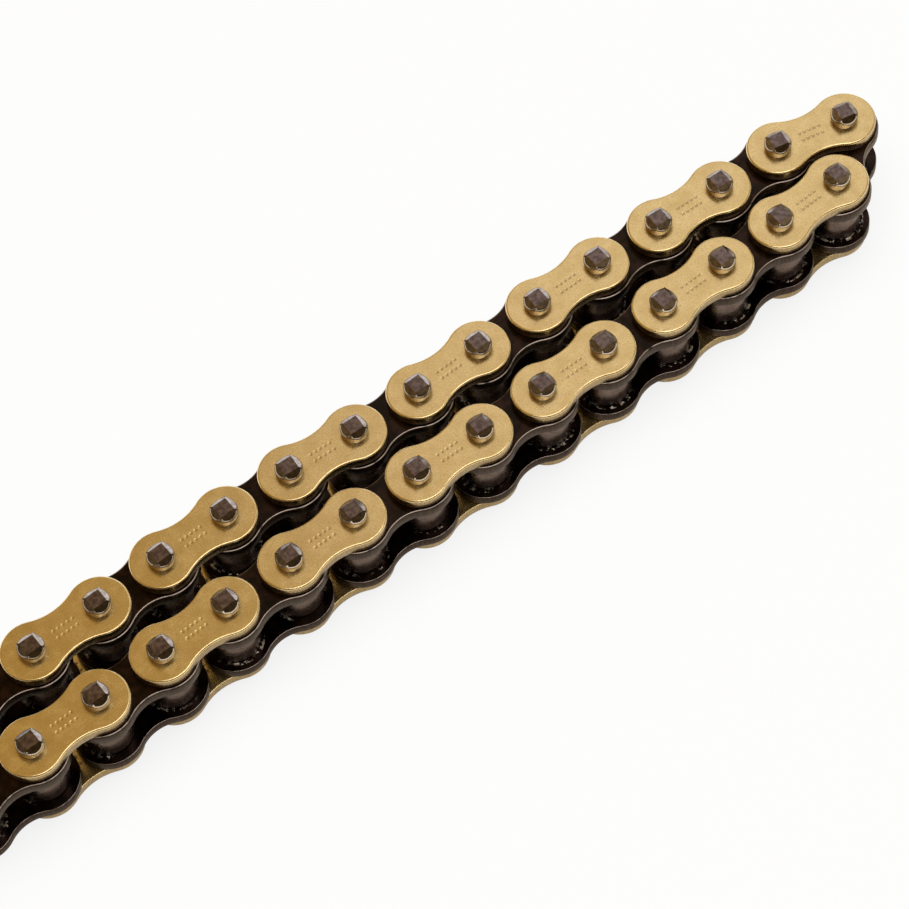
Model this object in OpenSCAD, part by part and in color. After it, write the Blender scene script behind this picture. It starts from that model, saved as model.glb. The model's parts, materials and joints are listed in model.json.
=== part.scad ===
// Plain roller drive chain, a hairpin length lying on its side with its pins upright.
// Outer links (two plates on two peened pins) and inner links (two plates on two bushes)
// follow each other, and a free roller turns on each bush. X runs along the chain.

/* [Chain] */
// Distance between neighbouring pins
pitch = 12.7; // [12:0.05:14]
// Clear width between the inner plates
inner_width = 7.85; // [6.5:0.05:9.5]
// Outer links in each run, and as many inner links
pairs = 7; // [2:1:7]

/* [Plates] */
// Thickness of an inner plate
inner_t = 2; // [1.4:0.1:2.6]
// Thickness of an outer plate
outer_t = 2; // [1.4:0.1:2.6]
// Gap between the ends of neighbouring inner plates
end_gap = 0.9; // [0.5:0.1:2]
// How much less an outer plate reaches from its pin than an inner plate
outer_step = 0.5; // [0.3:0.1:1.2]
// Depth of the waist in each side of an inner plate
inner_waist = 1.7; // [0.8:0.1:2.2]
// Depth of the waist in each side of an outer plate
outer_waist = 1.4; // [0.8:0.1:2]
// How far a waist's arc bites into the round ends, so that the two arcs cross
waist_bite = 0.02; // [0.01:0.01:0.05]
// Play between an inner plate and the outer plate beside it
side_play = 0.1; // [0.06:0.01:0.3]

/* [Pins] */
// Diameter of a pin
pin_d = 4.45; // [4:0.05:5]
// Height of a pin's peened head above the outer plate
head_h = 2.2; // [1.5:0.05:2.8]
// Width of the flat that the four peening strokes leave on a head
stake_w = 2.4; // [2.1:0.1:3.6]
// Slope of the four peened faces
stake_slope = 40; // [35:1:50]

/* [Bushes and rollers] */
// Wall of a bush
bush_wall = 0.9; // [0.6:0.05:1.1]
// Diameter of a roller
roller_d = 8.51; // [8.3:0.01:9.4]
// Chamfer round both ends of a roller
roller_ease = 0.3; // [0.1:0.05:0.5]
// Radial clearance of a pin in its bush
pin_play = 0.04; // [0.02:0.01:0.1]
// Radial clearance of a roller on its bush
roller_play = 0.08; // [0.02:0.01:0.1]
// Play between a roller's end and the inner plate
roller_end_play = 0.1; // [0.05:0.01:0.3]
// Radial gap that keeps a pressed-in pin or bush a solid of its own
press_gap = 0.015; // [0.01:0.005:0.03]

/* [Lay] */
// Gap between the first inner plate of the lower run and the second of the upper one, where the fold closes
run_gap = 0.15; // [0.1:0.05:1]
// Angle by which each run leaves the X direction
run_splay = 0.3; // [0:0.05:0.6]
// Bend of the upper run at its second pin from the fold
lead_bend = 11.5; // [8:0.5:16]
// Sway of the upper run's links to either side of its line
upper_sway = 2.4; // [0:0.1:3]
// Links in one wave of that sway
upper_wave = 5.6; // [5:0.1:8]
// Links from the start of that wave to the fold
upper_phase = 0.8; // [0:0.1:1.5]
// Sway of the lower run's links to either side of its line
lower_sway = 1.2; // [0:0.1:1.6]
// Links in one wave of that sway
lower_wave = 9.8; // [8:0.1:12]
// Links from the start of that wave to the fold
lower_phase = 0.5; // [0:0.1:1.5]

/* [Hidden] */
$fn = 64;
// Reach of the plates from a pin's centre
inner_r = (pitch - end_gap) / 2;
outer_r = inner_r - outer_step;
// Bores and outside diameters of the pieces round a pin
bush_bore = pin_d + 2 * pin_play;
bush_d = bush_bore + 2 * bush_wall;
roller_bore = bush_d + 2 * roller_play;
roller_len = inner_width - 2 * roller_end_play;
bush_len = inner_width + 2 * inner_t;
// Heights above the surface that the pin ends stand on
outer_low_z = head_h;
inner_low_z = outer_low_z + outer_t + side_play;
roller_z = inner_low_z + inner_t + roller_end_play;
inner_high_z = inner_low_z + inner_t + inner_width;
outer_high_z = inner_high_z + inner_t + side_play;
pin_len = outer_high_z + outer_t + head_h;
// The fold: one inner link reaches from the first lower pin up to the first upper pin, and closes
// on the first upper outer link until the round ends of the inner plates are run_gap apart
fold_opening = 2 * asin((2 * inner_r + run_gap) / (2 * pitch));
fold_way = fold_opening - lead_bend - run_splay;
// Number of pins in each run, counted from the fold
run_pins = 2 * pairs + 1;

function step(way) = pitch * [cos(way), sin(way)];
function upper_way(k) = 180 - run_splay + (k == 1 ? -lead_bend : wave(upper_sway, k + upper_phase, upper_wave));
function lower_way(k) = 180 + run_splay + wave(lower_sway, k + lower_phase, lower_wave);
function wave(sway, links, length) = sway * sin(360 * links / length);
// The pins of each run, a pitch apart, from the fold to its end
raw_upper = [for (k = 1, p = step(fold_way); k <= run_pins; p = p + step(upper_way(k)), k = k + 1) p];
raw_lower = [for (k = 1, p = [0, 0]; k <= run_pins; p = p + step(lower_way(k)), k = k + 1) p];
// The plan's middle is the origin: every pin carries an inner plate's round end
raw_x = [for (p = concat(raw_upper, raw_lower)) p.x];
raw_y = [for (p = concat(raw_upper, raw_lower)) p.y];
middle = [min(raw_x) + max(raw_x), min(raw_y) + max(raw_y)] / 2;
function upper(k) = raw_upper[k - 1] - middle;
function lower(k) = raw_lower[k - 1] - middle;

// Places a link's own frame, first pin at its origin and second pin along its X, between two pins
module between(a, b) {
    way = atan2(b.y - a.y, b.x - a.x);
    translate([a.x, a.y, 0])
        rotate(way)
            children();
}

// The two pin places of a link in its own frame
module at_both_pins() {
    for (x = [0, pitch])
        translate([x, 0, 0])
            children();
}

// Figure-eight link plate: two round ends and a hollow waist whose arcs run nearly tangent into them
module plate(reach, waist, t, bore) {
    waist_half = reach - waist;
    arc_r = ((pitch / 2) ^ 2 + waist_half ^ 2 - reach ^ 2) / (2 * waist);
    arc_at = [pitch / 2, waist_half + arc_r];
    tangent = arc_at * reach / (reach + arc_r);
    difference() {
        union() {
            at_both_pins()
                cylinder(r = reach, h = t);
            translate([0, -tangent.y, 0])
                cube([pitch, 2 * tangent.y, t]);
        }
        for (side = [-1, 1])
            translate([arc_at.x, side * arc_at.y, -1])
                cylinder(r = arc_r + waist_bite, h = t + 2);
        at_both_pins()
            translate([0, 0, -1])
                cylinder(d = bore, h = t + 2);
    }
}

// Side view of a pin whose two ends are struck to a sloped flat
module stake_profile() {
    half = pin_d;
    drop = (half - stake_w / 2) * tan(stake_slope);
    polygon([
        [-half, drop], [-stake_w / 2, 0], [stake_w / 2, 0], [half, drop],
        [half, pin_len - drop], [stake_w / 2, pin_len], [-stake_w / 2, pin_len], [-half, pin_len - drop]
    ]);
}

// Pin with both heads peened by four strokes, two across the link and two along it
module pin() {
    intersection() {
        cylinder(d = pin_d, h = pin_len);
        for (turn = [0, 90])
            rotate([90, 0, turn])
                linear_extrude(2 * pin_d, center = true)
                    stake_profile();
    }
}

// Rolled bush, pressed flush into both inner plates
module bush() {
    difference() {
        cylinder(d = bush_d, h = bush_len);
        translate([0, 0, -1])
            cylinder(d = bush_bore, h = bush_len + 2);
    }
}

// Outer link: two gold plates riveted on two pins
module outer_link(a, b) {
    color("#c9a24e")
        between(a, b) {
            for (z = [outer_low_z, outer_high_z])
                translate([0, 0, z])
                    plate(outer_r, outer_waist, outer_t, pin_d + 2 * press_gap);
            at_both_pins()
                pin();
        }
}

// Inner link: two black plates pressed on two bushes
module inner_link(a, b) {
    color("#26221f")
        between(a, b) {
            for (z = [inner_low_z, inner_high_z])
                translate([0, 0, z])
                    plate(inner_r, inner_waist, inner_t, bush_d + 2 * press_gap);
            at_both_pins()
                translate([0, 0, inner_low_z])
                    bush();
        }
}

// Roller, free on the bush between the inner plates, its ends chamfered outside
module roller(p) {
    eased_r = roller_d / 2 - roller_ease;
    color("#5a5350")
        translate([p.x, p.y, roller_z])
            difference() {
                union() {
                    cylinder(r1 = eased_r, d2 = roller_d, h = roller_ease);
                    translate([0, 0, roller_ease])
                        cylinder(d = roller_d, h = roller_len - 2 * roller_ease);
                    translate([0, 0, roller_len - roller_ease])
                        cylinder(d1 = roller_d, r2 = eased_r, h = roller_ease);
                }
                translate([0, 0, -1])
                    cylinder(d = roller_bore, h = roller_len + 2);
            }
}

inner_link(lower(1), upper(1));  // fold_inner_link
roller(upper(1));  // fold_roller_upper
roller(lower(1));  // fold_roller_lower
for (i = [1 : pairs]) {
    outer_link(upper(2 * i - 1), upper(2 * i));
    outer_link(lower(2 * i - 1), lower(2 * i));
    inner_link(upper(2 * i), upper(2 * i + 1));
    inner_link(lower(2 * i), lower(2 * i + 1));
}
for (k = [2 : run_pins]) {
    roller(upper(k));
    roller(lower(k));
}
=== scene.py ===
# Plain roller drive chain: a hairpin length of 29 links lying on its side, pins upright.
import json
import math

import bmesh
import bpy
from mathutils import Matrix, Vector


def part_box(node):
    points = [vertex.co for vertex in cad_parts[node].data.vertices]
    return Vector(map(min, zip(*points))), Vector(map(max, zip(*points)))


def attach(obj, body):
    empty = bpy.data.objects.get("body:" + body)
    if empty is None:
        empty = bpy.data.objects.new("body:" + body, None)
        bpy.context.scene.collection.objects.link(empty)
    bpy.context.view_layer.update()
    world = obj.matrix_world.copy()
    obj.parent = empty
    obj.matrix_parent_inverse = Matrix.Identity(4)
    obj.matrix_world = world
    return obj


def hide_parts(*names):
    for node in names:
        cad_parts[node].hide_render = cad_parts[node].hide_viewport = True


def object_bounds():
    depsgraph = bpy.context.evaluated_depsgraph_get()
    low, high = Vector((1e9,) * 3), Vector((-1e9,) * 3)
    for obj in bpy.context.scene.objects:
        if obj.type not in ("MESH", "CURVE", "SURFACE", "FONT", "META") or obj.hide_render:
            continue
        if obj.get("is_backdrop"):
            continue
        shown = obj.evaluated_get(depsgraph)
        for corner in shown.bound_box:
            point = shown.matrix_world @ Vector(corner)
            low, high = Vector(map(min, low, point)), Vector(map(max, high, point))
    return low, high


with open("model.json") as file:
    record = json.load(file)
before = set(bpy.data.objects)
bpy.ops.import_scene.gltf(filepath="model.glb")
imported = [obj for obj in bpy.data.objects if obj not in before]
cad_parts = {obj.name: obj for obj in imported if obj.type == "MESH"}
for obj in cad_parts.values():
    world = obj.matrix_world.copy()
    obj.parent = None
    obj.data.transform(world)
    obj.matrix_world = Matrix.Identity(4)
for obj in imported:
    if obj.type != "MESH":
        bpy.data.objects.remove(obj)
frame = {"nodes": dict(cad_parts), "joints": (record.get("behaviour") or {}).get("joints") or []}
cad_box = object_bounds()

# Bushes: short tubes of case-hardened steel, two to an inner link, curled from strip and ground.
# Each is pressed flush into both inner plates, the pin turns in its bore, and only those at the
# chain's two free ends show.
MM = 0.001
PITCH = 12.7 * MM
BUSH_BORE = 4.53 * MM
BUSH_D = 6.33 * MM
BUSH_EASE = 0.15 * MM
EASE_STEPS = 4
ROUND_STEPS = 64
# How far the patterns move on from one piece to the next
PATTERN_STEP = 7 * MM
# A face whose normal is this near to upright, or that has more corners, stays flat
UPRIGHT = 0.999
SMOOTH_CORNERS = 4

pin_places = {
    joint["child"]: Vector(joint["pos_m"]).to_2d()
    for joint in frame["joints"]
    if joint["name"].endswith("_spin")
}
runs = ("upper", "lower")
links_in_run = sum(name.startswith("upper_outer_link") for name in frame["nodes"])


def pin_place(run, number):
    """Where a pin of a run stands, numbered from the fold; a roller turns about each of them."""
    return pin_places[f"fold_roller_{run}" if number == 1 else f"{run}_roller_{number}"]


inner_links = {"fold_inner_link": (pin_place("lower", 1), pin_place("upper", 1))}
for run in runs:
    for i in range(1, links_in_run + 1):
        inner_links[f"{run}_inner_link_{i}"] = (pin_place(run, 2 * i), pin_place(run, 2 * i + 1))
inner_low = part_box("fold_inner_link")[0][2]
inner_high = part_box("fold_inner_link")[1][2]


def linear(hex_colour):
    """An sRGB hex colour as linear RGBA."""
    parts = [int(hex_colour[i : i + 2], 16) / 255 for i in (1, 3, 5)]
    return [c / 12.92 if c <= 0.04045 else ((c + 0.055) / 1.055) ** 2.4 for c in parts] + [1]


def add_node(tree, kind, *inputs, out=None, **settings):
    """Adds a node and returns the output that is named, or else the first that is in use.

    Inputs fill the node's sockets in order, and settings are its properties, or its sockets by name.
    A socket takes a number, a vector, a hex colour or another node's output.
    """
    node = tree.nodes.new("ShaderNode" + kind)
    named = []
    for key, value in settings.items():
        if hasattr(node, key):
            setattr(node, key, value)
        else:
            named.append((node.inputs[key.replace("_", " ")], value))
    in_use = [socket for socket in node.inputs if socket.enabled]
    for socket, value in [*zip(in_use, inputs), *named]:
        if isinstance(value, bpy.types.NodeSocket):
            tree.links.new(value, socket)
        else:
            socket.default_value = linear(value) if isinstance(value, str) else value
    return node.outputs[out] if out else next(socket for socket in node.outputs if socket.enabled)


def new_material(name, **surface):
    """A material with one Principled shader, whose uniform values are set on its own sockets."""
    material = bpy.data.materials.new(name)
    material.use_nodes = True
    shader = material.node_tree.nodes["Principled BSDF"]
    for key, value in surface.items():
        shader.inputs[key.replace("_", " ")].default_value = value
    return material, material.node_tree, shader


def spots(tree, size, detail=3.0, squeeze=(1, 1, 1), turn=0.0):
    """Noise with spots of about a size on a piece, drawn out along the axes that are squeezed less."""
    own = add_node(tree, "Attribute", attribute_name="own", out="Vector")
    place = add_node(tree, "Mapping", own, Rotation=(0, 0, turn), Scale=squeeze)
    return add_node(tree, "TexNoise", place, Scale=1 / size, Detail=detail)


def layer(tree, pattern, low, high, under, over):
    """Lays a colour over another: none of it where a pattern is at low, all of it at high."""
    cover = add_node(tree, "MapRange", pattern, low, high, interpolation_type="SMOOTHSTEP")
    return add_node(tree, "Mix", cover, under, over, data_type="RGBA")


def finish(tree, shader, colour, roughness, height, depth):
    """Joins colour, roughness and a relief of some depth to the shader; roughness is (factor, low, high)."""
    factor, low, high = roughness
    span = add_node(tree, "MapRange", factor, To_Min=low, To_Max=high)
    bump = add_node(tree, "Bump", Height=height, Distance=depth)
    tree.links.new(colour, shader.inputs["Base Color"])
    tree.links.new(span, shader.inputs["Roughness"])
    tree.links.new(bump, shader.inputs["Normal"])


def tube(bore, outside, low, high, ease):
    """A tube about the Z axis with eased corners, spun from the section of its wall."""
    bm = bmesh.new()
    section = ((bore / 2, low), (outside / 2, low), (outside / 2, high), (bore / 2, high))
    corners = [bm.verts.new((x, 0, z)) for x, z in section]
    bm.faces.new(corners)
    bmesh.ops.bevel(
        bm, geom=corners, offset=ease, segments=EASE_STEPS, profile=0.5, affect="VERTICES", material=-1
    )
    bmesh.ops.delete(bm, geom=bm.faces[:], context="FACES_ONLY")
    bmesh.ops.spin(
        bm, geom=bm.verts[:] + bm.edges[:], cent=(0, 0, 0), axis=(0, 0, 1), angle=math.tau,
        steps=ROUND_STEPS, use_merge=True,
    )
    return bm


def at_both_pins(bm):
    """Repeats what is made at a link's first pin at its second pin."""
    copy = bmesh.ops.duplicate(bm, geom=bm.verts[:] + bm.edges[:] + bm.faces[:])["geom"]
    bmesh.ops.translate(bm, verts=[v for v in copy if isinstance(v, bmesh.types.BMVert)], vec=(PITCH, 0, 0))


def settle(bm, name, node, material, first, second=None):
    """Makes a piece from a mesh in a link's own frame, first pin at its origin and second along X.

    Each point keeps its place in that frame, moved on a little from link to link in Z, as the
    attribute "own", so that a pattern lies the same way on every link and differs from one to the next.
    """
    bmesh.ops.recalc_face_normals(bm, faces=bm.faces)
    for face in bm.faces:
        face.smooth = len(face.verts) <= SMOOTH_CORNERS and abs(face.normal.z) < UPRIGHT
    own = bm.verts.layers.float_vector.new("own")
    shift = Vector((0, 0, len(bpy.data.meshes) * PATTERN_STEP))
    for vert in bm.verts:
        vert[own] = vert.co + shift
    along = (second or first + Vector((1, 0))) - first
    turn = Matrix.Rotation(math.atan2(along.y, along.x), 4, "Z")
    bmesh.ops.transform(bm, matrix=Matrix.Translation((first.x, first.y, 0)) @ turn, verts=bm.verts)
    mesh = bpy.data.meshes.new(name)
    bm.to_mesh(mesh)
    mesh.materials.append(material)
    piece = bpy.data.objects.new(name, mesh)
    bpy.context.scene.collection.objects.link(piece)
    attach(piece, node)
    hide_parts(node)


# Ground bearing steel: a clean grey, with thin brown oil stains and fine rings from the grinding wheel,
# which are drawn coarser than real ones so that they show.
bush_steel, tree, shader = new_material(
    "ground_bearing_steel", Metallic=1.0, Coat_Weight=0.2, Coat_Roughness=0.2
)
rings = spots(tree, 0.12 * MM, squeeze=(0.1, 0.1, 1))
colour = add_node(tree, "Mix", rings, "#85817f", "#aaa6a3", data_type="RGBA")
colour = layer(tree, spots(tree, 1.5 * MM), 0.5, 0.75, colour, "#6b6058")
finish(tree, shader, colour, roughness=(rings, 0.24, 0.38), height=rings, depth=0.004 * MM)

for link, (first, second) in inner_links.items():
    bm = tube(BUSH_BORE, BUSH_D, inner_low, inner_high, BUSH_EASE)
    at_both_pins(bm)
    settle(bm, f"{link}_bushes", link, bush_steel, first, second)
    bm.free()

# Inner plates: figure-eight plates blanked from 2 mm steel strip and blackened, two to an inner link.
# They are pressed on the ends of the bushes, with the rounded side that the punch leaves outwards.
PLATE_T = 2.0 * MM
PRESS_GAP = 0.015 * MM
INNER_REACH = 5.9 * MM
INNER_WAIST = 1.7 * MM
INNER_ROLL = 0.32 * MM
ROLL_STEPS = 5
BURR_EASE = 0.12 * MM
BURR_STEPS = 2
END_STEPS = 44
MOUTH_STEPS = 20
WAIST_STEPS = 16
# Points nearer than MERGE are one point, and an edge bent by more than SHARP is a corner
MERGE = 0.001 * MM
SHARP = math.radians(60)
# Beads of oil stand in the corner between a roller and the plates, out to OIL_EDGE from the pin's centre
ROLLER_FOOT = 4.3 * MM
OIL_EDGE = 5.0 * MM
OIL_RISE = 0.3 * MM
RELIEF = 0.008 * MM


def plate(reach, waist, bore, roll):
    """A link plate lying on z = 0, rolled edge up: a ring round each pin and the web between them."""
    half = PITCH / 2
    waist_half = reach - waist
    arc_r = (half**2 + waist_half**2 - reach**2) / (2 * waist)
    arc_y = waist_half + arc_r
    lean = math.atan2(arc_y, half)
    bm = bmesh.new()
    spoke = [bm.verts.new((r * math.cos(lean), r * math.sin(lean), 0)) for r in (bore / 2, reach)]
    ring = bmesh.ops.spin(
        bm, geom=spoke + [bm.edges.new(spoke)], cent=(0, 0, 0), axis=(0, 0, 1),
        angle=math.tau - 2 * lean, steps=END_STEPS,
    )
    last = [v for v in ring["geom_last"] if isinstance(v, bmesh.types.BMVert)]
    last_bore, last_rim = sorted(last, key=lambda v: v.co.length)
    bmesh.ops.spin(
        bm, geom=[last_bore], cent=(0, 0, 0), axis=(0, 0, 1), angle=2 * lean, steps=MOUTH_STEPS
    )
    other = bmesh.ops.duplicate(bm, geom=bm.verts[:] + bm.edges[:] + bm.faces[:])["geom"]
    bmesh.ops.rotate(
        bm, verts=[v for v in other if isinstance(v, bmesh.types.BMVert)], cent=(half, 0, 0),
        matrix=Matrix.Rotation(math.pi, 3, "Z"),
    )
    for rim_vert, side in ((spoke[1], 1), (last_rim, -1)):
        bmesh.ops.spin(
            bm, geom=[rim_vert], cent=(half, side * arc_y, 0), axis=(0, 0, side),
            angle=math.pi - 2 * lean, steps=WAIST_STEPS,
        )
    bmesh.ops.remove_doubles(bm, verts=bm.verts, dist=MERGE)
    spoke_length = reach - bore / 2
    web = [
        e for e in bm.edges
        if not e.link_faces or e.is_boundary and e.calc_length() > spoke_length - MERGE
    ]
    bmesh.ops.contextual_create(bm, geom=web)
    raised = bmesh.ops.extrude_face_region(bm, geom=bm.faces[:], use_keep_orig=True)["geom"]
    bmesh.ops.translate(
        bm, verts=[v for v in raised if isinstance(v, bmesh.types.BMVert)], vec=(0, 0, PLATE_T)
    )
    bmesh.ops.recalc_face_normals(bm, faces=bm.faces)
    for z, ease, steps in ((PLATE_T, roll, ROLL_STEPS), (0, BURR_EASE, BURR_STEPS)):
        outline = []
        for edge in bm.edges:
            middle = (edge.verts[0].co + edge.verts[1].co) / 2
            from_pin = min(middle.xy.length, (middle.xy - Vector((PITCH, 0))).length)
            at_corner = abs(middle.z - z) < MERGE and edge.calc_face_angle(0) > SHARP
            if at_corner and from_pin > bore / 2:
                outline.append(edge)
        bmesh.ops.bevel(
            bm, geom=outline, offset=ease, segments=steps, profile=0.5, affect="EDGES", material=-1
        )
    return bm


def facing_pair(bm, low, high):
    """Sets a plate with its outer face at height high, and its mirror image with that face at low."""
    bmesh.ops.translate(bm, verts=bm.verts, vec=(0, 0, high - PLATE_T))
    bmesh.ops.mirror(
        bm, geom=bm.verts[:] + bm.edges[:] + bm.faces[:], axis="Z", merge_dist=0,
        matrix=Matrix.Translation((0, 0, -(low + high) / 2)),
    )


def facing_up(tree):
    """1 on a face square to the pins, 0 on a wall along them."""
    normal = add_node(tree, "NewGeometry", out="Normal")
    return add_node(tree, "Math", add_node(tree, "SeparateXYZ", normal, out="Z"), operation="ABSOLUTE")


def on_rounded_edge(tree, up, off_wall, off_flat):
    """1 on the rounded edge of a plate, 0 on its wall and on its flat."""
    past_wall = add_node(tree, "MapRange", up, *off_wall, interpolation_type="SMOOTHSTEP")
    past_flat = add_node(tree, "MapRange", up, *off_flat, interpolation_type="SMOOTHSTEP")
    return add_node(tree, "Math", past_wall, past_flat, operation="MULTIPLY")


def to_nearest_pin(tree):
    """Distance in plan from the nearer of a link's two pins."""
    own = add_node(tree, "Attribute", attribute_name="own", out="Vector")
    along = add_node(tree, "SeparateXYZ", own).node.outputs
    from_middle = add_node(tree, "Math", along["X"], PITCH / 2, operation="SUBTRACT")
    from_middle = add_node(tree, "Math", from_middle, operation="ABSOLUTE")
    past_pin = add_node(tree, "Math", from_middle, PITCH / 2, operation="SUBTRACT")
    away = add_node(tree, "CombineXYZ", past_pin, along["Y"])
    return add_node(tree, "VectorMath", away, operation="LENGTH")


# Blackened strip steel under a film of oil: brown-black and cloudy with a soft gloss on the flats, grey and
# streaked across the sheared walls, rubbed to bare grey along the rounded edge, and with beads of oil at
# the rollers' feet, painted pale grey as a glint. The grain is drawn coarser than the real one so that it shows.
black_steel, tree, shader = new_material(
    "oiled_black_oxide_steel", Metallic=1.0, Coat_Weight=0.15, Coat_Roughness=0.12
)
up = facing_up(tree)
cloud = spots(tree, 1.8 * MM, detail=5.0)
grain = spots(tree, 0.16 * MM)
shear = spots(tree, 0.3 * MM, squeeze=(1, 1, 0.12))
flat = layer(tree, cloud, 0.35, 0.7, "#120b08", "#2c1d17")
flat = layer(tree, grain, 0.62, 0.74, flat, "#3c2b23")
wall = layer(tree, shear, 0.2, 0.8, "#382e2a", "#54473f")
colour = layer(tree, up, 0.25, 0.6, wall, flat)
worn = add_node(tree, "MapRange", cloud, 0.25, 0.55, interpolation_type="SMOOTHSTEP")
edge = on_rounded_edge(tree, up, off_wall=(0.55, 0.8), off_flat=(0.995, 0.96))
rub = add_node(tree, "Math", edge, worn, operation="MULTIPLY")
colour = add_node(tree, "Mix", rub, colour, "#8f8681", data_type="RGBA")

rise = add_node(tree, "SeparateXYZ", add_node(tree, "TexCoord", out="Object"), out="Z")
rise = add_node(tree, "Math", rise, (inner_low + inner_high) / 2, operation="SUBTRACT")
rise = add_node(tree, "Math", rise, operation="ABSOLUTE")
inside = add_node(tree, "Math", rise, (inner_high - inner_low - PLATE_T) / 2, operation="LESS_THAN")
level = add_node(tree, "MapRange", up, 0.95, 0.99, interpolation_type="SMOOTHSTEP")
inside = add_node(tree, "Math", inside, level, operation="MULTIPLY")
damp = add_node(tree, "MapRange", spots(tree, 7 * MM, 1.0), 0.4, 0.55, interpolation_type="SMOOTHSTEP")
wet = add_node(tree, "Math", damp, inside, operation="MULTIPLY")
bead = add_node(tree, "MapRange", spots(tree, 0.8 * MM), 0.5, 0.62, interpolation_type="SMOOTHSTEP")
bead = add_node(tree, "Math", bead, wet, operation="MULTIPLY")
foot = add_node(
    tree, "MapRange", to_nearest_pin(tree), OIL_EDGE, ROLLER_FOOT, interpolation_type="SMOOTHSTEP"
)
# The pale grey on the oil beads at the roller's foot is a painted glint; the beads' swell is relief
painted_glint = add_node(tree, "MapRange", foot, 0.05, 0.3, interpolation_type="SMOOTHSTEP")
painted_glint = add_node(tree, "Math", bead, painted_glint, operation="MULTIPLY")
colour = add_node(tree, "Mix", painted_glint, colour, "#9a938c", data_type="RGBA")
height = add_node(tree, "Math", shear, 0.5, grain, operation="MULTIPLY_ADD")
swell = add_node(tree, "Math", bead, foot, operation="MULTIPLY")
height = add_node(tree, "Math", swell, OIL_RISE / RELIEF, height, operation="MULTIPLY_ADD")
finish(tree, shader, colour, roughness=(cloud, 0.24, 0.42), height=height, depth=RELIEF)

for link, (first, second) in inner_links.items():
    bm = plate(INNER_REACH, INNER_WAIST, BUSH_D + 2 * PRESS_GAP, INNER_ROLL)
    facing_pair(bm, inner_low, inner_high)
    settle(bm, f"{link}_plates", link, black_steel, first, second)
    bm.free()

# Rollers: cold-formed hardened steel tubes, two to an inner link, free to turn on the bushes between
# the plates. They leave the tumbling barrel with a dark satin skin under a thin film of oil.
ROLLER_BORE = 6.49 * MM
ROLLER_D = 8.51 * MM
ROLLER_EASE = 0.3 * MM
roller_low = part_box("fold_roller_upper")[0][2]
roller_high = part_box("fold_roller_upper")[1][2]

# Tumbled hardened steel: warm grey, clouded by the quench, with faint rings from the drawing die, small dark
# pits and an oil film that gives sharp little glints.
roller_steel, tree, shader = new_material(
    "tumbled_hardened_steel", Metallic=1.0, Coat_Weight=0.35, Coat_Roughness=0.08
)
cloud = spots(tree, 1.3 * MM, detail=5.0)
rings = spots(tree, 0.25 * MM, squeeze=(0.15, 0.15, 1))
pits = add_node(tree, "MapRange", spots(tree, 0.3 * MM), 0.66, 0.76, interpolation_type="SMOOTHSTEP")
colour = layer(tree, cloud, 0.3, 0.7, "#73645f", "#8d7e7a")
colour = layer(tree, rings, 0.55, 0.8, colour, "#4c433e")
colour = add_node(tree, "Mix", pits, colour, "#2c2623", data_type="RGBA")
height = add_node(tree, "Math", rings, 0.5, operation="MULTIPLY")
height = add_node(tree, "Math", height, pits, operation="SUBTRACT")
finish(tree, shader, colour, roughness=(cloud, 0.2, 0.36), height=height, depth=0.01 * MM)

for roller, place in pin_places.items():
    bm = tube(ROLLER_BORE, ROLLER_D, roller_low, roller_high, ROLLER_EASE)
    settle(bm, f"{roller}_tube", roller, roller_steel, place)
    bm.free()

# Pins: hardened steel, two to an outer link, pressed through its plates and turning in the bushes.
# Four slanting punch strokes peen each end to a square flat and spread it a little, which keeps the
# plates on.
PIN_D = 4.45 * MM
STAKE_W = 2.4 * MM
STAKE_SLOPE = math.radians(40)
STROKES = 4
BROW_EASE = 0.35 * MM
BROW_STEPS = 5
HEAD_LENGTH = 1.4 * MM
HEAD_SPREAD = 1.05
# The upright share of a normal on the wall stays below the first, and on a slope below the second
WALL_LEAN = 0.1
SLOPE_LEAN = 0.9
outer_links = {
    f"{run}_outer_link_{i}": (pin_place(run, 2 * i - 1), pin_place(run, 2 * i))
    for run in runs
    for i in range(1, links_in_run + 1)
}
pin_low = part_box("upper_outer_link_1")[0][2]
pin_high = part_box("upper_outer_link_1")[1][2]


def peened_pin():
    """A round pin at the origin, each end cut by four slopes that leave a square flat, and spread."""
    bm = bmesh.new()
    bmesh.ops.create_cone(
        bm, cap_ends=True, segments=ROUND_STEPS, radius1=PIN_D / 2, radius2=PIN_D / 2,
        depth=pin_high - pin_low, matrix=Matrix.Translation((0, 0, (pin_low + pin_high) / 2)),
    )
    for end, up in ((pin_low, -1), (pin_high, 1)):
        for stroke in range(STROKES):
            turn = stroke * math.tau / STROKES
            out = Vector((math.cos(turn), math.sin(turn), 0))
            cut = bmesh.ops.bisect_plane(
                bm, geom=bm.verts[:] + bm.edges[:] + bm.faces[:], clear_outer=True,
                plane_co=out * STAKE_W / 2 + Vector((0, 0, end)),
                plane_no=out * math.sin(STAKE_SLOPE) + Vector((0, 0, up * math.cos(STAKE_SLOPE))),
            )["geom_cut"]
            bmesh.ops.contextual_create(bm, geom=[e for e in cut if isinstance(e, bmesh.types.BMEdge)])
    brow = []
    for edge in bm.edges:
        lean = sorted(abs(face.normal.z) for face in edge.link_faces)
        if lean[0] < WALL_LEAN < lean[1] < SLOPE_LEAN:
            brow.append(edge)
    bmesh.ops.bevel(
        bm, geom=brow, offset=BROW_EASE, segments=BROW_STEPS, profile=0.5, affect="EDGES", material=-1,
        loop_slide=True,
    )
    for neck in (pin_low + HEAD_LENGTH, pin_high - HEAD_LENGTH):
        bmesh.ops.bisect_plane(
            bm, geom=bm.verts[:] + bm.edges[:] + bm.faces[:], plane_co=(0, 0, neck), plane_no=(0, 0, 1)
        )
    heads = [v for v in bm.verts if min(v.co.z - pin_low, pin_high - v.co.z) < HEAD_LENGTH - MERGE]
    bmesh.ops.scale(bm, vec=(HEAD_SPREAD, HEAD_SPREAD, 1), verts=heads)
    return bm


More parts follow.
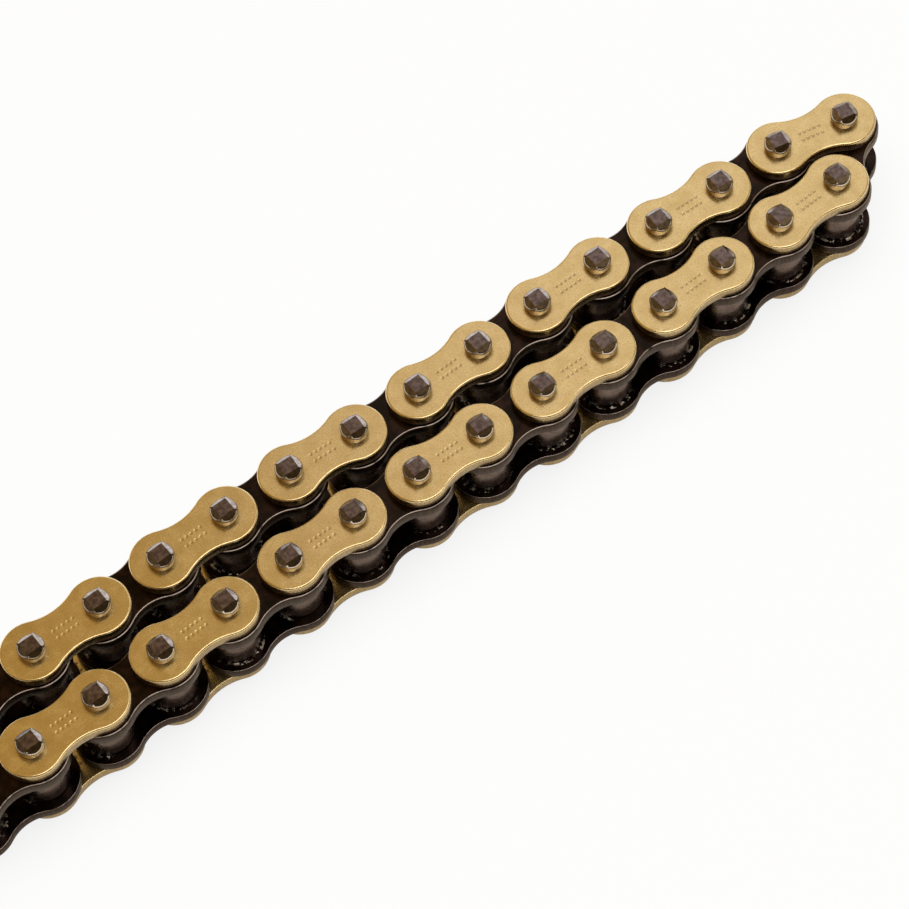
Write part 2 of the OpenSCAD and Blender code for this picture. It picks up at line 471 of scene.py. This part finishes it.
# Hardened pin steel: the flat end keeps the brown-grey skin of the furnace, mottled, with a grain that is
# drawn coarse so that it shows; the struck slopes are bare, brighter and smoother; the ground wall is brightest.
pin_steel, tree, shader = new_material("peened_pin_steel", Metallic=1.0)
up = facing_up(tree)
mottle = spots(tree, 0.7 * MM, detail=5.0)
grain = spots(tree, 0.14 * MM)
skin = layer(tree, mottle, 0.3, 0.7, "#51474a", "#72676a")
skin = layer(tree, grain, 0.62, 0.8, skin, "#413a3c")
bare = layer(tree, mottle, 0.35, 0.65, "#776e69", "#978e89")
ground = add_node(tree, "MapRange", up, 0.68, 0.4, interpolation_type="SMOOTHSTEP")
bare = add_node(tree, "Mix", ground, bare, "#b5a68f", data_type="RGBA")
colour = layer(tree, up, 0.77, 0.82, bare, skin)
level = add_node(tree, "MapRange", up, 0.84, 0.96, interpolation_type="SMOOTHSTEP")
height = add_node(tree, "Math", mottle, grain, operation="ADD")
height = add_node(tree, "Math", height, level, operation="MULTIPLY")
dull = add_node(tree, "Math", height, ground, operation="MAXIMUM")
finish(tree, shader, colour, roughness=(dull, 0.13, 0.28), height=height, depth=0.014 * MM)

for link, (first, second) in outer_links.items():
    bm = peened_pin()
    at_both_pins(bm)
    settle(bm, f"{link}_pins", link, pin_steel, first, second)
    bm.free()

# Outer plates: the same figure-eight blanks a little smaller, plated gold, two to an outer link.
# They are pressed on the pins outside the inner plates and held there by the peened heads.
OUTER_REACH = 5.4 * MM
OUTER_WAIST = 1.4 * MM
OUTER_ROLL = 0.38 * MM
SIDE_PLAY = 0.1 * MM
DOT_R = 0.42 * MM
DOT_STEP = 0.92 * MM
DOT_ROW = 0.72 * MM
DOTS = 5
# Oil and painted shade round a pin fade from the second distance to the first; scratches run two ways, in
# radians
OIL_AND_SHADE_RING = (3.1 * MM, 2.2 * MM)
SCRATCH_TURNS = (0.5, 2.2)

# Gold zinc plate on tumbled steel: straw gold and satin, with clouds, hair scratches both ways, brown oil
# and painted shade round the pins' feet, paler rubbed edges and two rows of plain punch dots in the middle. The
# grain of the tumbling is drawn coarser than the real one so that it shows.
gold_plate, tree, shader = new_material(
    "gold_zinc_plate", Metallic=1.0, Coat_Weight=1.0, Coat_IOR=1.9, Coat_Roughness=0.2
)
own = add_node(tree, "Attribute", attribute_name="own", out="Vector")
along = add_node(tree, "SeparateXYZ", own).node.outputs
from_middle = add_node(tree, "Math", along["X"], PITCH / 2, operation="SUBTRACT")
dot_x = add_node(tree, "Math", from_middle, DOT_STEP / 2, -DOT_STEP / 2, operation="WRAP")
dot_y = add_node(tree, "Math", along["Y"], operation="ABSOLUTE")
dot_y = add_node(tree, "Math", dot_y, DOT_ROW, operation="SUBTRACT")
to_dot = add_node(tree, "VectorMath", add_node(tree, "CombineXYZ", dot_x, dot_y), operation="LENGTH")
from_middle = add_node(tree, "Math", from_middle, operation="ABSOLUTE")
in_row = add_node(tree, "Math", from_middle, DOTS * DOT_STEP / 2, operation="LESS_THAN")
dots = add_node(tree, "MapRange", to_dot, DOT_R, 0.0, interpolation_type="SMOOTHSTEP")
dots = add_node(tree, "Math", dots, in_row, operation="MULTIPLY")

up = facing_up(tree)
cloud = spots(tree, 2.6 * MM, detail=4.0)
grain = spots(tree, 0.2 * MM)
coarse = add_node(tree, "MapRange", grain, 0.5, 0.72, interpolation_type="SMOOTHSTEP")
hairs = []
for turn in SCRATCH_TURNS:
    hair = spots(tree, 0.5 * MM, detail=2.0, squeeze=(0.12, 1, 1), turn=turn)
    hair = add_node(tree, "Math", hair, 0.5, operation="SUBTRACT")
    hair = add_node(tree, "Math", hair, operation="ABSOLUTE")
    hairs.append(add_node(tree, "MapRange", hair, 0.02, 0.004, interpolation_type="SMOOTHSTEP"))
handled = add_node(tree, "MapRange", cloud, 0.42, 0.6, interpolation_type="SMOOTHSTEP")
scratch = add_node(tree, "Math", *hairs, operation="MAXIMUM")
scratch = add_node(tree, "Math", scratch, handled, operation="MULTIPLY")
# Brown round each pin's foot: partly oil, partly painted shade where the pin meets the plate
oil_and_painted_shade = add_node(tree, "MapRange", to_nearest_pin(tree), *OIL_AND_SHADE_RING, interpolation_type="SMOOTHSTEP")
smear = add_node(tree, "MapRange", spots(tree, 0.6 * MM), 0.3, 0.6, interpolation_type="SMOOTHSTEP")
oil_and_painted_shade = add_node(tree, "Math", oil_and_painted_shade, smear, operation="MULTIPLY")
edge = on_rounded_edge(tree, up, off_wall=(0.3, 0.7), off_flat=(0.98, 0.85))
worn = add_node(tree, "MapRange", cloud, 0.3, 0.6, interpolation_type="SMOOTHSTEP")
rub = add_node(tree, "Math", edge, worn, operation="MULTIPLY")
wall = add_node(tree, "MapRange", up, 0.3, 0.1, interpolation_type="SMOOTHSTEP")
shear = spots(tree, 0.35 * MM, squeeze=(1, 1, 0.12))
shear = add_node(tree, "MapRange", shear, 0.4, 0.7, interpolation_type="SMOOTHSTEP")
shear = add_node(tree, "Math", wall, shear, operation="MULTIPLY")
colour = layer(tree, cloud, 0.25, 0.75, "#c0a86b", "#d0bb84")
for mark, share, tint in (
    (coarse, 0.8, "#a58a50"), (scratch, 0.3, "#e6d4a4"), (oil_and_painted_shade, 0.12, "#5e4318"),
    (dots, 0.45, "#8a6a2c"), (rub, 1.0, "#dfc486"), (shear, 0.4, "#96702a"),
):
    cover = add_node(tree, "Math", mark, share, operation="MULTIPLY")
    colour = add_node(tree, "Mix", cover, colour, tint, data_type="RGBA")
height = add_node(tree, "Math", grain, 0.13, operation="MULTIPLY")
for mark, lift in ((scratch, -0.06), (dots, -1.2)):
    height = add_node(tree, "Math", mark, lift, height, operation="MULTIPLY_ADD")
finish(tree, shader, colour, roughness=(grain, 0.22, 0.34), height=height, depth=0.06 * MM)

for link, (first, second) in outer_links.items():
    bm = plate(OUTER_REACH, OUTER_WAIST, PIN_D + 2 * PRESS_GAP, OUTER_ROLL)
    facing_pair(bm, inner_low - SIDE_PLAY - PLATE_T, inner_high + SIDE_PLAY + PLATE_T)
    settle(bm, f"{link}_plates", link, gold_plate, first, second)
    bm.free()

# Floor: a sheet of white paper under the chain. Seen straight it is nearly plain white, with a pale painted
# shadow close to the chain where it sees less open sky; mirrored in the metal, it glows further out, as a lit
# sheet does.
FLOOR_SIZE = 4.0
SHOWN_WHITE = 0.96
SHADOW_REACH = 9 * MM
SHADOW_LEVEL = 0.84
SHADOW_RAYS = 8
GLOW_EDGE = (30 * MM, 100 * MM)
bpy.context.scene.view_settings.view_transform = "Standard"

paper, tree, shader = new_material(
    "white_paper", Base_Color=linear("#f3f3f3"), Roughness=0.9, Specular_IOR_Level=0.1
)
path = add_node(tree, "LightPath").node.outputs
seen = add_node(tree, "Math", path["Is Camera Ray"], path["Is Transmission Ray"], operation="MAXIMUM")
place = add_node(tree, "NewGeometry", out="Position")
across = add_node(tree, "Math", add_node(tree, "SeparateXYZ", place, out="Y"), operation="ABSOLUTE")
glow = add_node(tree, "MapRange", across, *GLOW_EDGE, interpolation_type="SMOOTHSTEP")
glow = add_node(tree, "Math", glow, path["Is Glossy Ray"], operation="MULTIPLY")
# Painted shadow: the floor's white is dimmed where nearby parts of the chain hide the open sky
open_sky = add_node(tree, "AmbientOcclusion", samples=SHADOW_RAYS, Distance=SHADOW_REACH, out="AO")
painted_shadow = add_node(tree, "Math", open_sky, 1 - SHADOW_LEVEL, SHADOW_LEVEL, operation="MULTIPLY_ADD")
white = add_node(tree, "Emission", Strength=add_node(tree, "Math", glow, painted_shadow, operation="ADD"))
share = add_node(tree, "Math", seen, SHOWN_WHITE, operation="MULTIPLY")
share = add_node(tree, "Math", share, glow, operation="MAXIMUM")
shown = add_node(tree, "MixShader", share, shader.outputs["BSDF"], white)
tree.links.new(shown, tree.nodes["Material Output"].inputs["Surface"])
bm = bmesh.new()
bmesh.ops.create_grid(bm, x_segments=1, y_segments=1, size=FLOOR_SIZE / 2)
mesh = bpy.data.meshes.new("floor")
bm.to_mesh(mesh)
bm.free()
mesh.materials.append(paper)
floor = bpy.data.objects.new("floor", mesh)
bpy.context.scene.collection.objects.link(floor)
floor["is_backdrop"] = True

# Sky: what the metal mirrors. A white wall stands behind the chain and a low white backdrop all round it,
# brighter at the right. The ceiling is warm, most of all at the left, and a dark room lies in front and,
# less dark, at the far left.
CEILING = 0.56
ROOM = 0.1
LEFT_SHARE = 0.75
FRONT = (-0.5, -0.866, 0.0)
RIGHT = (0.9, 0.43, 0.0)
# Each edge is where a part of the sky begins and where it is in full, as a share of a direction
ROOM_EDGE = (0.4, 0.56)
LEFT_EDGE = (-0.5, -0.9)
WALL_EDGE = (0.5, 0.1)
BACKDROP_EDGE = (0.2, 0.06)
RIGHT_EDGE = (0.7, 0.95)
WARM_EDGE = (0.12, 0.42)
world = bpy.data.worlds.new("studio_sky")
bpy.context.scene.world = world
world.use_nodes = True
tree = world.node_tree
ray = add_node(tree, "TexCoord", out="Generated")
way = add_node(tree, "SeparateXYZ", ray).node.outputs
ahead = add_node(tree, "VectorMath", ray, FRONT, operation="DOT_PRODUCT")
beside = add_node(tree, "VectorMath", ray, RIGHT, operation="DOT_PRODUCT")
left = add_node(tree, "MapRange", way["X"], *LEFT_EDGE, interpolation_type="SMOOTHSTEP")
left = add_node(tree, "Math", left, LEFT_SHARE, operation="MULTIPLY")
dark = add_node(tree, "MapRange", ahead, *ROOM_EDGE, interpolation_type="SMOOTHSTEP")
dark = add_node(tree, "Math", dark, left, operation="MAXIMUM")
wall = add_node(tree, "MapRange", way["Z"], *WALL_EDGE, interpolation_type="SMOOTHSTEP")
behind = add_node(tree, "Math", 1.0, dark, operation="SUBTRACT")
wall = add_node(tree, "Math", wall, behind, operation="MULTIPLY")
backdrop = add_node(tree, "MapRange", way["Z"], *BACKDROP_EDGE, interpolation_type="SMOOTHSTEP")
bright = add_node(tree, "MapRange", beside, *RIGHT_EDGE, interpolation_type="SMOOTHSTEP")
bright = add_node(tree, "Math", bright, 1.0, operation="ADD")
white = add_node(tree, "Math", wall, backdrop, operation="MAXIMUM")
white = add_node(tree, "Math", white, bright, operation="MULTIPLY")
room = add_node(tree, "Math", dark, ROOM - CEILING, CEILING, operation="MULTIPLY_ADD")
seen = add_node(tree, "LightPath", out="Is Camera Ray")
white_or_seen = add_node(tree, "Math", white, seen, operation="MAXIMUM")
level = add_node(tree, "Math", white_or_seen, room, operation="MAXIMUM")
ceiling = layer(tree, way["X"], *WARM_EDGE, "#ffd07e", "#ffe4b4")
colour = add_node(tree, "Mix", white_or_seen, ceiling, "#ffffff", data_type="RGBA")
tree.links.new(level, tree.nodes["Background"].inputs["Strength"])
tree.links.new(colour, tree.nodes["Background"].inputs["Color"])


# Diffusers: two soft lamps over the chain. The one behind it at the right lies as a sheen in the flats near
# the fold, and the one in front lights the near walls and gives the oil its glints.
def diffuser(name, at, aim, width, depth, power):
    """A flat soft lamp at a place, facing a point."""
    lamp = bpy.data.lights.new(name, "AREA")
    lamp.shape = "RECTANGLE"
    lamp.size = width
    lamp.size_y = depth
    lamp.energy = power
    stand = bpy.data.objects.new(name, lamp)
    stand.location = at
    stand.rotation_euler = (Vector(at) - Vector(aim)).to_track_quat("Z", "Y").to_euler()
    bpy.context.scene.collection.objects.link(stand)


diffuser("back_diffuser", at=(0.27, 0.23, 0.45), aim=(0.03, 0, 0), width=0.32, depth=0.32, power=0.19)
diffuser("front_diffuser", at=(0.04, -0.14, 0.57), aim=(0, 0, 0), width=0.5, depth=0.3, power=1.2)

# Camera: from above, in front and to the left of the chain, turned a little clockwise. Its place and lens
# are those that bring the pins to where they stand in the frame.
AIM = Vector((1.879, -7.894, 19.35)) * MM
AZIMUTH = math.radians(-30.11)
ELEVATION = math.radians(59.86)
ROLL = math.radians(7.97)
DISTANCE = 553.5 * MM
SENSOR_WIDTH = 36
FOCAL_LENGTH = 135.47
lens = bpy.data.cameras.new("camera")
lens.sensor_width = SENSOR_WIDTH
lens.lens = FOCAL_LENGTH
camera = bpy.data.objects.new("camera", lens)
level_back = math.cos(ELEVATION)
back = Vector((math.sin(AZIMUTH) * level_back, -math.cos(AZIMUTH) * level_back, math.sin(ELEVATION)))
turn = back.to_track_quat("Z", "Y").to_matrix().to_4x4() @ Matrix.Rotation(-ROLL, 4, "Z")
camera.matrix_world = Matrix.Translation(AIM + DISTANCE * back) @ turn
bpy.context.scene.collection.objects.link(camera)
bpy.context.scene.camera = camera

[[list(corner) for corner in box] for box in (cad_box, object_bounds())]
